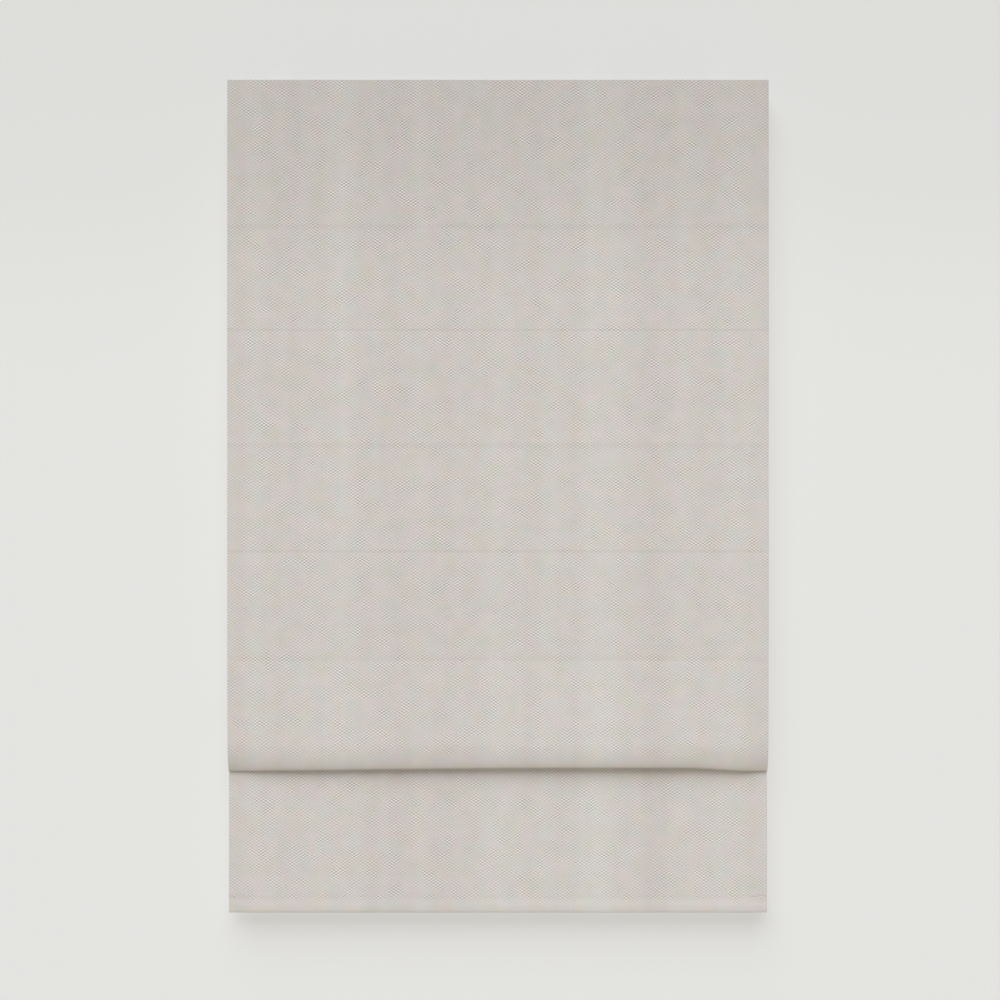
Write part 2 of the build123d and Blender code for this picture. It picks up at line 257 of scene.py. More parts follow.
def woven_cloth():
    """Pale stone cloth: slanting rows of yarn that show in patches, with slubs, bands and slight tints, and its
    weave faded as painted shade under the fold.
    """
    look = finish_look("woven_cloth")
    flat = look.flat_place()
    turned = look.stretch(flat, 1.0, -1.0, 1.0)
    across, along = look.parts(flat, "X", "Y")

    slack = (look.noise(flat, 14.0, 1.0) - 0.5) * 0.3
    warp = across * (1 / weave_across) + slack
    weft = along * (1 / weave_along) + slack
    lean = look.patches(turned, 60.0, sharp=3.0, less=1.0, detail=1.0) * 0.5
    rising = look.wave(warp + weft, 1.0) * (lean + 0.5)
    falling = look.wave(warp - weft, 1.0) * (1 - lean)
    small = look.patches(flat, 66.0, sharp=3.4, less=1.1)
    shown = small * (look.patches(flat, 24.0, sharp=4.0, less=1.4) * 0.7 + 0.5)

    y, z = look.parts(look.object_place(), "Y", "Z")
    side = look.clamp((look.math("ABSOLUTE", across) - flat_side) / flat_side_fade)
    hem = look.clamp((hem_seam_z - z) / flat_hem_fade)
    # Painted shade: the weave fades in a band about the fold's lowest line, where the fold's shadow falls, and
    # more on the flap and the strip, which are pressed at the fold
    fold = look.clamp((pressed_and_shaded_reach - look.math("ABSOLUTE", z - fold_bottom)) / pressed_and_shaded_fade)
    flap = look.clamp((flat_flap_y - y) / flat_flap_fade)
    pressed_and_shaded = fold * (flap + 1) * 0.35
    bumps = (rising + falling) * shown * (1 - side * 0.3) * (1 - hem * 0.65) * (1 - pressed_and_shaded)

    threads = look.wave(across, warp_pitch) * 0.5 + look.wave(along, weft_pitch) * 0.5
    bands = look.noise(look.stretch(flat, 9.0, 0.12, 1.0), 1.0, 3.0, 0.6)
    slubs = look.noise(look.stretch(flat, 30.0, 400.0, 1.0), 1.0)
    clouds = look.noise(turned, 34.0)

    warm_share = look.clamp(look.noise(flat, 31.0) * 3.0 - bands * 1.4 - 0.3)
    warmth = look.mix(warm_share, paint(202, 201, 194), paint(208, 199.5, 195))
    cool_share = look.patches(turned, 25.0, sharp=3.0, less=1.0)
    coolness = look.mix(cool_share, (1.0, 1.0, 0.965, 1), (1.0, 1.0, 1.035, 1))
    light = bumps * 0.3 + threads * 0.03 + (bands - 0.5) * 0.27
    light = light + (slubs - 0.5) * 0.05 + (clouds - 0.5) * 0.12 + 1.0
    height = bumps * 0.8 + threads * 0.12 + slubs * 0.2
    return look.finish(
        Base_Color=look.scale(look.multiply(warmth, coolness), light),
        Roughness=0.93, Specular_IOR_Level=0.15, Sheen_Weight=0.06, Sheen_Roughness=0.6,
        Normal=look.bump(height, 0.25 * MM, 0.6))


def pocket_tape():
    """Thin off-white woven tape."""
    look = finish_look("pocket_tape")
    flat = look.flat_place()
    across, along = look.parts(flat, "X", "Y")
    threads = look.wave(across, 1.1 * MM) * look.wave(along, 0.8 * MM)
    cloudy = look.noise(flat, 60.0, 3.0)
    light = threads * 0.08 + (cloudy - 0.5) * 0.1 + 1.0
    return look.finish(
        Base_Color=look.scale(paint(212, 208, 202)[:3], light), Roughness=0.9, Specular_IOR_Level=0.2,
        Normal=look.bump(threads * 0.5 + cloudy, 0.15 * MM, 0.6))


def rail_paint():
    """White powder coat with a fine orange peel."""
    look = finish_look("rail_paint")
    place = look.object_place()
    peel = look.noise(place, 900.0)
    dust = look.noise(look.stretch(place, 6.0, 30.0, 30.0), 1.0, 4.0)
    light = (dust - 0.5) * 0.06 + 1.0
    return look.finish(
        Base_Color=look.scale(paint(231, 231, 227)[:3], light), Roughness=dust * 0.2 + 0.36,
        Coat_Weight=0.15, Coat_Roughness=0.3, Normal=look.bump(peel, 0.05 * MM, 0.5))


def white_plastic():
    """White moulded plastic with a fine matt texture."""
    look = finish_look("white_plastic")
    place = look.object_place()
    grain = look.noise(place, 2600.0, 1.0)
    flow = look.noise(place, 70.0, 3.0)
    light = (flow - 0.5) * 0.08 + (grain - 0.5) * 0.04 + 1.0
    return look.finish(
        Base_Color=look.scale(paint(229, 227, 221)[:3], light), Roughness=flow * 0.2 + 0.42,
        Normal=look.bump(grain, 0.04 * MM, 0.5))


def clear_plastic():
    """Milky clear moulded plastic."""
    look = finish_look("clear_plastic")
    cloudy = look.noise(look.object_place(), 240.0, 3.0)
    milk = look.mix(cloudy, paint(212, 216, 217), paint(232, 234, 233))
    return look.finish(
        Base_Color=milk, Roughness=cloudy * 0.15 + 0.18, Coat_Weight=0.4, Coat_Roughness=0.12,
        Normal=look.bump(cloudy, 0.03 * MM, 0.4))


def rod_glassfibre():
    """Pale drawn glass fibre with strands along the rod."""
    look = finish_look("rod_glassfibre")
    strands = look.noise(look.stretch(look.object_place(), 14.0, 1900.0, 1900.0), 1.0, 3.0)
    tone = look.mix(strands, paint(196, 192, 176), paint(229, 226, 214))
    return look.finish(
        Base_Color=tone, Roughness=strands * 0.25 + 0.3, Normal=look.bump(strands, 0.06 * MM, 0.5))


def bar_steel():
    """Galvanised flat bar with a faint spangle."""
    look = finish_look("bar_steel")
    place = look.object_place()
    spangle = look.node("TexVoronoi", sockets={"Vector": place, "Scale": 170.0})
    cloudy = look.noise(place, 45.0, 4.0)
    tone = look.mix(look.clamp(spangle * 0.7 + cloudy * 0.4), paint(150, 154, 158), paint(190, 193, 196))
    return look.finish(
        Base_Color=tone, Metallic=0.9, Roughness=cloudy * 0.3 + 0.3,
        Normal=look.bump(spangle, 0.05 * MM, 0.3))


def bracket_steel():
    """Zinc plated spring steel with fine marks of rolling."""
    look = finish_look("bracket_steel")
    place = look.object_place()
    rolled = look.noise(look.stretch(place, 2400.0, 60.0, 60.0), 1.0)
    cloudy = look.noise(place, 90.0, 3.0)
    tone = look.mix(cloudy, paint(172, 172, 168), paint(204, 205, 203))
    return look.finish(
        Base_Color=tone, Metallic=1.0, Roughness=rolled * 0.15 + cloudy * 0.2 + 0.2,
        Normal=look.bump(rolled, 0.02 * MM, 0.4))


def spring_steel():
    """Blued steel strip."""
    look = finish_look("spring_steel")
    place = look.object_place()
    rolled = look.noise(look.stretch(place, 2600.0, 90.0, 90.0), 1.0)
    heat = look.noise(place, 120.0)
    tone = look.mix(heat, paint(92, 100, 118), paint(140, 140, 142))
    return look.finish(
        Base_Color=tone, Metallic=1.0, Roughness=rolled * 0.2 + 0.24,
        Normal=look.bump(rolled, 0.02 * MM, 0.5))


def shaft_aluminium():
    """Drawn square bar with die lines along it."""
    look = finish_look("shaft_aluminium")
    lines = look.noise(look.stretch(look.object_place(), 5.0, 2300.0, 2300.0), 1.0, 3.0)
    tone = look.mix(lines, paint(180, 183, 186), paint(208, 210, 212))
    return look.finish(
        Base_Color=tone, Metallic=1.0, Roughness=lines * 0.2 + 0.28, Normal=look.bump(lines, 0.02 * MM, 0.5))


def touch_tape():
    """White hook and loop tape with a furry pile."""
    look = finish_look("touch_tape")
    place = look.object_place()
    pile = look.noise(place, 1500.0, 3.0, 0.7)
    tufts = look.noise(place, 420.0)
    light = (pile - 0.5) * 0.3 + (tufts - 0.5) * 0.2 + 1.0
    return look.finish(
        Base_Color=look.scale(paint(220, 219, 213)[:3], light), Roughness=0.95, Specular_IOR_Level=0.15,
        Normal=look.bump(pile + tufts, 0.3 * MM, 0.8))


def cord_braid():
    """Fine white braid: two sets of strands that cross."""
    look = finish_look("cord_braid")
    place = look.object_place()
    strand_pitch = 1.1 * MM
    x, y, z = look.parts(place, "X", "Y", "Z")
    strands = look.wave(z + x + y, strand_pitch) * look.wave(z - x - y, strand_pitch)
    fuzz = look.noise(place, 900.0)
    light = strands * 0.12 + (fuzz - 0.5) * 0.1 + 1.0
    return look.finish(
        Base_Color=look.scale(paint(226, 223, 215)[:3], light), Roughness=0.85, Specular_IOR_Level=0.2,
        Normal=look.bump(strands + fuzz * 0.3, 0.12 * MM, 0.7))


looks = {make.__name__: make() for make in (
    woven_cloth, pocket_tape, rail_paint, white_plastic, clear_plastic, rod_glassfibre,
    bar_steel, bracket_steel, spring_steel, shaft_aluminium, touch_tape, cord_braid)}

for subpart in frame["record"]["subparts"]:
    node = frame["nodes"][subpart["node"]]
    node.data.materials.clear()
    node.data.materials.append(looks[subpart["material_slot"]])


# Making pieces

def add_object(name, data):
    made = bpy.data.objects.new(name, data)
    bpy.context.scene.collection.objects.link(made)
    return made


def add_mesh(name, bm):
    mesh = bpy.data.meshes.new(name)
    bm.to_mesh(mesh)
    bm.free()
    return add_object(name, mesh)


def add_piece(name, bm, finish):
    """A finished mesh as a piece of the blind, in one finish."""
    piece = add_mesh(name, bm)
    piece.data.materials.append(looks[finish])
    return piece


def new_sheet(columns, rows):
    """A flat grid for a sheet, with room for the weave's places."""
    bm = bmesh.new()
    flat_map = bm.loops.layers.uv.new("cloth")
    bmesh.ops.create_grid(bm, x_segments=columns - 1, y_segments=rows - 1, size=0.5)
    return bm, flat_map


def lay_weave(bm, flat_map, flat):
    """Gives each corner of a sheet its place on the flat cloth."""
    for face in bm.faces:
        for loop in face.loops:
            loop[flat_map].uv = flat[loop.vert]


def smooth_sheet(bm):
    """Shades a sheet smooth, up to its cut edges."""
    for face in bm.faces:
        face.smooth = True
    for edge in bm.edges:
        edge.smooth = not edge.is_boundary


def thicken(piece, name, thickness):
    """Gives a sheet its thickness, behind its face."""
    layer = piece.modifiers.new(name, "SOLIDIFY")
    layer.thickness = thickness
    layer.offset = -1.0


def round_bar(bm, segments, radius, length, cuts):
    """An upright round bar with rows of points along it."""
    bmesh.ops.create_cone(
        bm, cap_ends=True, segments=segments, radius1=radius, radius2=radius, depth=length)
    long_edges = [e for e in bm.edges if abs(e.verts[0].co.z - e.verts[1].co.z) > length / 2]
    bmesh.ops.subdivide_edges(bm, edges=long_edges, cuts=cuts)


def ease(share):
    share = min(max(share, 0.0), 1.0)
    return share * share * (3 - 2 * share)


def between(a, b, share):
    return a + (b - a) * share


def uneven(x, z, across, along, seed):
    """Unevenness from about -1 to 1, with so many swells in a metre across and along."""
    return noise.noise(Vector((x * across, seed, z * along)))


class Fall:
    """The line that cloth follows in depth and height, measured along the cloth."""

    def __init__(self, *runs):
        self.points = [point for run in runs for point in run]
        self.marks = [0.0]
        for a, b in zip(self.points, self.points[1:]):
            self.marks.append(self.marks[-1] + math.dist(a, b))
        self.length = self.marks[-1]

    def place(self, share):
        """The point at a share of the length, and the direction to the cloth's back there."""
        mark = share * self.length
        after = next((i for i, m in enumerate(self.marks) if m >= mark and i), len(self.marks) - 1)
        before = after - 1
        a, b = self.points[before], self.points[after]
        span = self.marks[after] - self.marks[before]
        along = (mark - self.marks[before]) / span
        point = (between(a[0], b[0], along), between(a[1], b[1], along))
        return point, (-(b[1] - a[1]) / span, (b[0] - a[0]) / span)


def straight(a, b, steps=60):
    """Points from one place up to another, without the last."""
    return [(between(a[0], b[0], i / steps), between(a[1], b[1], i / steps)) for i in range(steps)]


def bend(centre, deep, high, first, last, steps=48):
    """Part of an oval, from one angle to another, in degrees from the back."""
    angles = [math.radians(between(first, last, i / steps)) for i in range(steps + 1)]
    return [(centre[0] + deep * math.cos(t), centre[1] + high * math.sin(t)) for t in angles]


def row_shares(length, coarse, fine):
    """Rows down the cloth, closer at some places: each is a place, a reach about it and a step."""
    marks = [0.0]
    while marks[-1] < length:
        steps = [step for place, reach, step in fine if abs(marks[-1] - place) <= reach]
        marks.append(marks[-1] + min([coarse, *steps]))
    return [mark / marks[-1] for mark in marks]


def cloth_columns(hemmed, body_columns=110, turn_columns=8, hem_columns=6):
    """Columns across the cloth, with or without turned side hems.

    Each has its place across, its depth behind the face and its place when flat.
    """
    body_end = half_width - turn_radius if hemmed else half_width
    body = [body_end * i / body_columns for i in range(body_columns + 1)]
    right = [(x, 0.0, x) for x in body]
    if not hemmed:
        return [(-x, 0.0, -x) for x in reversed(body[1:])] + right
    for i in range(1, turn_columns + 1):
        angle = math.pi * i / turn_columns
        x = body_end + turn_radius * math.sin(angle)
        right.append((x, turn_radius * (1 - math.cos(angle)), body_end + turn_radius * angle))
    turned = right[-1][2]
    for i in range(1, hem_columns + 1):
        inward = side_hem_width * i / hem_columns
        right.append((body_end - inward, 2 * turn_radius, turned + inward))
    return [(-x, deep, -flat) for x, deep, flat in reversed(right[1:])] + right


hemmed_columns = cloth_columns(True)
plain_columns = cloth_columns(False)
flat_width = 2 * hemmed_columns[-1][2]


# The cloth's relief: pressed and stitched lines, and the slight unevenness of hung cloth

class PressedLine:
    """A line where the cloth steps back: stitched at a rod or the hem, or pressed in along a crease."""

    def __init__(self, z, width, step, share_above, lead, recovery):
        self.z = z
        self.width = width * MM
        self.rise = share_above * step * MM
        self.drop = (1 - share_above) * step * MM
        self.lead = lead * MM
        self.recovery = recovery * MM

    def depth(self, z):
        above = z - self.z - self.width / 2
        below = self.z - self.width / 2 - z
        before = -self.rise * math.exp(-max(above, 0.0) / self.lead)
        after = self.drop * math.exp(-max(below, 0.0) / self.recovery)
        return between(before, after, ease(-above / self.width))


pressed_lines = (
    PressedLine(rod_z["first"] - 1.6 * MM, width=11, step=0.42, share_above=0.5, lead=40, recovery=40),
    PressedLine(crease_z["first"] + 2.2 * MM, width=4.4, step=0.38, share_above=0.3, lead=25, recovery=9),
    PressedLine(rod_z["second"] - 3.5 * MM, width=12, step=0.5, share_above=0.5, lead=12, recovery=60),
    PressedLine(crease_z["second"] + 2.2 * MM, width=5.5, step=0.42, share_above=0.3, lead=30, recovery=10),
    PressedLine(rod_z["third"] + 5 * MM, width=10, step=0.29, share_above=0.2, lead=30, recovery=6),
    PressedLine(hem_seam_z + 1.5 * MM, width=5, step=0.13, share_above=0.0, lead=40, recovery=60),
)

# Broad and fine waves, which the rods and the seam hold down near them
broad_wave = 0.8 * MM
fine_wave = 0.12 * MM
held_share = 0.1
held_reach = 90 * MM

# The rumpled ends of the third rod's line and of the hem
rumple = 0.7 * MM
rumple_inward = 50 * MM
rumple_reach = 9 * MM
rumple_z = (rod_z["third"], hem_seam_z - 8 * MM)

# A pucker near the right end of the third rod
pucker = 0.6 * MM
pucker_x = half_width - 18 * MM
pucker_z = rod_z["third"] - 7 * MM
pucker_width = 8 * MM
pucker_height = 5 * MM


def pressed(z):
    """How far the lines press the face back."""
    return sum(line.depth(z) for line in pressed_lines)


def relief(x, z):
    """How far the face lies behind its smooth line."""
    depth = pressed(z)
    nearest = min(abs(z - line) for line in (*rod_z.values(), hem_seam_z))
    slack = held_share + (1 - held_share) * ease(nearest / held_reach)
    depth += slack * broad_wave * uneven(x, z, across=8.0, along=2.0, seed=1.7)
    depth += slack * fine_wave * uneven(x, z, across=31.0, along=11.0, seed=5.3)
    corner = ease((abs(x) - half_width + rumple_inward) / rumple_inward)
    for line in rumple_z:
        near = math.exp(-((z - line) / rumple_reach) ** 2)
        depth += corner * near * rumple * uneven(x, z, across=60.0, along=90.0, seed=9.1)
    aside = (x - pucker_x) / pucker_width
    below = (pucker_z - z) / pucker_height
    return depth + pucker * math.exp(-aside ** 2 - below ** 2)


# How the fold hangs lower and is pinched towards its ends
sag_x = 0.1
left_sag = 6 * MM
left_sag_power = 1.3
right_sag = 5.9 * MM
right_sag_x = 0.315
right_sag_reach = 0.12
pinch_inward = 0.055
long_pinch_inward = 0.17
left_pinch = 0.3


def leftward(x):
    """How far a place lies towards the fold's left end."""
    return max(sag_x - x, 0.0) / (sag_x + half_width)


def end_sag(x):
    """How far the fold hangs lower towards its ends, evenly to the left and quickly at the right."""
    return left_sag * leftward(x) ** left_sag_power + right_sag * ease((x - right_sag_x) / right_sag_reach)


def end_share(x):
    """How far the fold is pinched, whole at its ends and a little more on the left than on the right."""
    inward = half_width - abs(x)
    pinched = 1 - 0.5 * ease(inward / pinch_inward) - 0.5 * ease(inward / long_pinch_inward)
    return between(pinched, 1.0, left_pinch * leftward(x))


# Rows of the cloth: their step, and a closer one about a pressed or stitched line
row_step = 6 * MM
line_reach = 12 * MM
line_step = 1.3 * MM


def fine_at(top, *lines):
    return [(top - line, line_reach, line_step) for line in lines]


def hang(name, fall, start, fine, ends=None, sag=None, columns=hemmed_columns, lay=None):
    """One width of cloth along its fall, with its side hems turned behind it where it has them.

    Its weave is laid along the fall, or by a rule of its own for each height.
    """
    ends = ends or fall
    shares = row_shares(fall.length, row_step, fine)
    rows = [(fall.place(share), ends.place(share)) for share in shares]
    bm, flat_map = new_sheet(len(columns), len(rows))
    flat = {}
    for vert in bm.verts:
        x, deep, flat_x = columns[round((vert.co.x + 0.5) * (len(columns) - 1))]
        row = round((0.5 - vert.co.y) * (len(rows) - 1))
        (mid, mid_behind), (end, end_behind) = rows[row]
        pinch = end_share(x)
        y, z = (between(a, b, pinch) for a, b in zip(mid, end))
        behind = Vector([between(a, b, pinch) for a, b in zip(mid_behind, end_behind)])
        behind.normalize()
        y += relief(x, z)
        if sag:
            z -= end_sag(x) * sag(shares[row])
        along = lay(z) if lay else shares[row] * fall.length
        flat[vert] = (flat_x, -start - along)
        vert.co = (x, y + behind.x * deep, z + behind.y * deep)
    lay_weave(bm, flat_map, flat)
    smooth_sheet(bm)
    piece = add_piece(name, bm, "woven_cloth")
    thicken(piece, "cloth", cloth_thickness)
    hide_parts("blind_cloth")
    return piece


def bowed(top, bottom, bow, steps=90):
    """Cloth between two rods, which stands a little forward between them."""
    return [
        (face_y - bow * math.sin(math.pi * i / steps) ** 2, between(top, bottom, i / steps))
        for i in range(steps + 1)
    ]


# The cloth, one piece for each stretch that moves in its own way

laid = 0.0

top_fall = Fall(straight((face_y, cloth_top), (face_y, rod_z["first"])), [(face_y, rod_z["first"])])
cloth_head = hang("cloth_head", top_fall, laid, fine_at(cloth_top, rod_z["first"]))
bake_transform(cloth_head)
laid += top_fall.length

for name, below in (("first", "second"), ("second", "third")):
    pleat_fall = Fall(bowed(rod_z[name], rod_z[below], pleat_bow[name]))
    lines = fine_at(rod_z[name], rod_z[name], crease_z[name], rod_z[below])
    pleat = hang(f"{name}_pleat", pleat_fall, laid, lines)
    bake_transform(pleat)
    laid += pleat_fall.length

ridge_top = ridge_z + ridge_radius
ridge_front_y = lowest_rod_y - ridge_reach
rod_clear_z = ridge_top - rod_clear


def fold_falls(front_y, deep, high, tight, back_deep, back_high):
    """The flap's fall to the fold's lowest line, and from there up behind the flap to the lowest rod.

    The front leans back along an oval, deep and high, and turns under in a tight arc.
    The back rises along an oval of its own.
    """
    cut = math.atan(high / deep * math.tan(fold_lean))
    lowest_y = front_y + deep * (1 - math.cos(cut)) + tight * math.cos(fold_lean)
    turn_z = fold_bottom + tight
    lean_z = turn_z - tight * math.sin(fold_lean) + high * math.sin(cut)
    flap = Fall(
        straight((face_y, rod_z["third"]), (front_y, lean_z)),
        bend((front_y + deep, lean_z), deep, high, 180, 180 + math.degrees(cut)),
        bend((lowest_y, turn_z), tight, tight, 180 + math.degrees(fold_lean), 270, 16)[1:])
    back_z = fold_bottom + back_high
    behind = Fall(
        bend((lowest_y, back_z), back_deep, back_high, 270, 360),
        straight((lowest_y + back_deep, back_z), (ridge_front_y, rod_clear_z))[1:],
        straight((ridge_front_y, rod_clear_z), (ridge_front_y, ridge_top - ridge_reach)),
        bend((lowest_rod_y, ridge_top - ridge_reach), ridge_reach, ridge_reach, 180, 90, 12))
    return flap, behind


flap_fall, back_fall = fold_falls(
    front_y=cloth_low.y - 1.8 * MM, deep=10.2 * MM, high=42 * MM, tight=5.2 * MM,
    back_deep=2.2 * MM, back_high=18 * MM)
flap_ends, back_ends = fold_falls(
    front_y=cloth_low.y + 4.8 * MM, deep=28 * MM, high=66 * MM, tight=1.5 * MM,
    back_deep=1.5 * MM, back_high=6 * MM)

flap_rows = fine_at(rod_z["third"], rod_z["third"])
flap_rows += [(flap_fall.length, 55 * MM, 1.5 * MM), (flap_fall.length, 8 * MM, 0.5 * MM)]
fold_flap = hang("fold_flap", flap_fall, laid, flap_rows, flap_ends, ease)
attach(fold_flap, "third_rod_unit")
laid += flap_fall.length


def let_down_mark(z):
    """Where a height of the strip behind the flap hangs below the fold when it is let down."""
    rise = z - fold_bottom
    return travel["let_down"] * ease(rise / (ridge_z - fold_bottom)) - rise


fold_back = hang(
    "fold_back", back_fall, laid,
    [(0, 40 * MM, 1.8 * MM), (0, 6 * MM, 0.7 * MM), (back_fall.length, 8 * MM, 0.6 * MM)],
    back_ends, lambda share: 1 - ease(share), plain_columns, let_down_mark)
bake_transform(fold_back)
laid += back_fall.length

hem_front_y = skirt_y - hem_swell
hem_back_y = hem_front_y + hem_depth
hem_swell_z = hem_seam_z - hem_swell_start
hem_bulge_z = hem_seam_z - hem_swell_end
hem_curve_z = hem_bottom + hem_curve
hem_low_z = hem_bottom + hem_turn
sewn_y = skirt_y + 2 * cloth_thickness + hem_sew_gap
closing_z = bar_top + bar_clear
allowance_z = hem_seam_z + hem_allowance

# The hem's front leans back in a slight curve towards its lower edge
hem_edge = []
hem_edge_steps = 24
for i in range(hem_edge_steps + 1):
    down = (hem_curve - hem_turn) * i / hem_edge_steps
    hem_edge.append((hem_front_y + hem_lean * down ** 2 / (2 * hem_curve), hem_curve_z - down))

# From the ridge down to the hem, round the weight bar and up to the hem's seam
skirt_fall = Fall(
    bend((lowest_rod_y, ridge_z), ridge_radius, ridge_radius, 90, 0, 8),
    straight((skirt_y, ridge_z), (skirt_y, hem_swell_z))[1:],
    straight((skirt_y, hem_swell_z), (hem_front_y, hem_bulge_z)),
    straight((hem_front_y, hem_bulge_z), (hem_front_y, hem_curve_z), 8),
    hem_edge,
    bend((hem_edge[-1][0] + hem_turn, hem_low_z), hem_turn, hem_turn, 180, 270, 12)[1:],
    bend((hem_back_y - hem_turn, hem_low_z), hem_turn, hem_turn, 270, 360, 12),
    straight((hem_back_y, hem_low_z), (hem_back_y, closing_z))[1:],
    straight((hem_back_y, closing_z), (sewn_y, hem_seam_z)),
    straight((sewn_y, hem_seam_z), (sewn_y, allowance_z)),
    [(sewn_y, allowance_z)])
skirt_rows = fine_at(ridge_z, hem_seam_z)
skirt_rows += [
    (0, 4 * MM, 0.35 * MM), (ridge_z - hem_bottom, 14 * MM, 0.6 * MM),
    (skirt_fall.length - 20 * MM, 22 * MM, 1.6 * MM)]
skirt = hang("skirt", skirt_fall, laid, skirt_rows)
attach(skirt, "lowest_rod_unit")


# Rod pockets: a tape folded round each rod, with both edges stitched to the cloth

tape_thickness = 0.3 * MM
pocket_radius = 3.5 * MM
pocket_flange = 6 * MM
pocket_set = 0.02 * MM
pocket_meet = 1.2 * MM
pocket_wrap = (180, 490)
pocket_slack = 0.22 * MM
pocket_columns = 151
pocket_row_step = 0.7 * MM


def make_pocket(name, y, z, turned):
    """A sleeve round a rod; turned puts its sewn edges below, at its back."""
    way = -1 if turned else 1
    first_y = y - way * (pocket_radius - pocket_set)
    second_y = y - way * (pocket_radius - pocket_set - tape_thickness)
    edge_z = z + way * (pocket_radius + pocket_flange)
    meet_z = z + way * (pocket_radius + pocket_meet)
    spin = 180 if turned else 0
    wrap = bend((y, z), pocket_radius, pocket_radius, *(angle + spin for angle in pocket_wrap), 40)
    tape_fall = Fall(
        straight((first_y, edge_z), (first_y, z), 20), wrap,
        straight((second_y, meet_z), (second_y, edge_z), 12), [(second_y, edge_z)])
    low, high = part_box(f"{name}_rod_pocket")
    shares = row_shares(tape_fall.length, pocket_row_step, [])
    rows = [tape_fall.place(share) for share in shares]
    bm, flat_map = new_sheet(pocket_columns, len(rows))
    flat = {}
    for vert in bm.verts:
        x = between(low.x, high.x, vert.co.x + 0.5)
        row = round((0.5 - vert.co.y) * (len(rows) - 1))
        (py, pz), behind = rows[row]
        loose = math.sin(math.pi * shares[row]) ** 2
        deep = loose * pocket_slack * uneven(x, z, across=45.0, along=7.0, seed=shares[row] * 3.0)
        flat[vert] = (x, shares[row] * tape_fall.length)
        vert.co = (x, py + behind[0] * deep, pz + behind[1] * deep)
    lay_weave(bm, flat_map, flat)
    smooth_sheet(bm)
    pocket = add_piece(f"{name}_rod_sleeve", bm, "pocket_tape")
    thicken(pocket, "tape", tape_thickness)
    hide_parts(f"{name}_rod_pocket")
    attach(pocket, f"{name}_rod_unit")


for name in upper_rods:
    make_pocket(name, rod_y, rod_z[name], False)
make_pocket("lowest", lowest_rod_y, rod_z["lowest"], True)


# Stitch rows

stitch_length = 2.6 * MM
stitch_pitch = 3.4 * MM
stitch_radius = 0.2 * MM
stitch_dip = 1.6 * stitch_radius
stitch_above_rod = 3.5 * MM
rod_stitch_reach = half_width - side_hem_width / 2
hem_stitch_reach = half_width - 4 * MM


def stitch_row(name, body, y, z, reach):
    """A row of stitches along the width, each a short thread that dips in at both ends."""
    bm = bmesh.new()
    round_bar(bm, segments=6, radius=stitch_radius, length=stitch_length, cuts=3)
    bmesh.ops.rotate(bm, verts=bm.verts, cent=(0, 0, 0), matrix=Matrix.Rotation(math.pi / 2, 3, "Y"))
    count = int(2 * reach / stitch_pitch)
    for vert in bm.verts:
        outward = 2 * vert.co.x / stitch_length
        vert.co.y += outward ** 2 * stitch_dip
        vert.co += Vector((-count * stitch_pitch / 2, y, z))
    for face in bm.faces:
        face.smooth = True
    row = add_piece(name, bm, "pocket_tape")
    repeat = row.modifiers.new("stitches", "ARRAY")
    repeat.count = count
    repeat.use_relative_offset = False
    repeat.use_constant_offset = True
    repeat.constant_offset_displace = (stitch_pitch, 0, 0)
    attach(row, body)


for name in upper_rods:
    line_z = rod_z[name] + stitch_above_rod
    stitch_row(f"{name}_rod_stitches", f"{name}_rod_unit", face_y + pressed(line_z), line_z, rod_stitch_reach)
stitch_row("hem_stitches", "lowest_rod_unit", skirt_y + pressed(hem_seam_z), hem_seam_z, hem_stitch_reach)


# Hook and loop strips

strip_thickness = 0.8 * MM
strip_edge = 1.2 * MM
pile_slope = 1.0 * MM
pile_height = 0.7 * MM
pile_rough = 0.1 * MM


def make_strip(node, shown, forward):
    """A tape with thin woven edges and a raised pile between them."""
    low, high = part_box(node)
    bm = bmesh.new()
    bmesh.ops.create_grid(bm, x_segments=180, y_segments=20, size=0.5)
    for vert in bm.verts:
        x = between(low.x, high.x, vert.co.x + 0.5)
        z = between(low.z, high.z, vert.co.y + 0.5)
        inward = min(z - low.z, high.z - z)
        pile = ease((inward - strip_edge) / pile_slope)
        rough = pile_rough * uneven(x, z, across=300, along=300, seed=0)
        deep = between(pile_height, 0.0, pile) + pile * abs(rough)
        vert.co = (x, low.y + deep if forward else high.y - deep, z)
    if not forward:
        bmesh.ops.reverse_faces(bm, faces=bm.faces)
    smooth_sheet(bm)
    strip = add_piece(shown, bm, "touch_tape")
    thicken(strip, "tape", strip_thickness)
    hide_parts(node)
    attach(strip, "headrail_unit")


make_strip("hook_strip", "hook_tape", True)
make_strip("loop_strip", "loop_tape", False)


# Lift cords

cord_radius = 0.6 * MM
cord_turns = 6
cord_y = lowest_rod_y
cord_foot = rod_z["lowest"] + pocket_radius + sew_gap
run_cuts = 24
last_run_cuts = 40
turn_steps = 32

# The way that the rods rise: they draw back a little, by this share of their rise
draw_back = 0.02
slide_lean = Vector((0, draw_back, 1)).normalized()


def cord_run(name, side, top, bottom, cuts):
    """A straight run of a lift cord."""
    bm = bmesh.new()
    round_bar(bm, segments=10, radius=cord_radius, length=top - bottom, cuts=cuts)
    bmesh.ops.translate(bm, verts=bm.verts, vec=(cord_x[side], cord_y, (top + bottom) / 2))
    for face in bm.faces:
        face.smooth = len(face.verts) == 4
    run = add_piece(f"{name}_{side}", bm, "cord_braid")
    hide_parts(f"lift_cord_{side}")
    return run


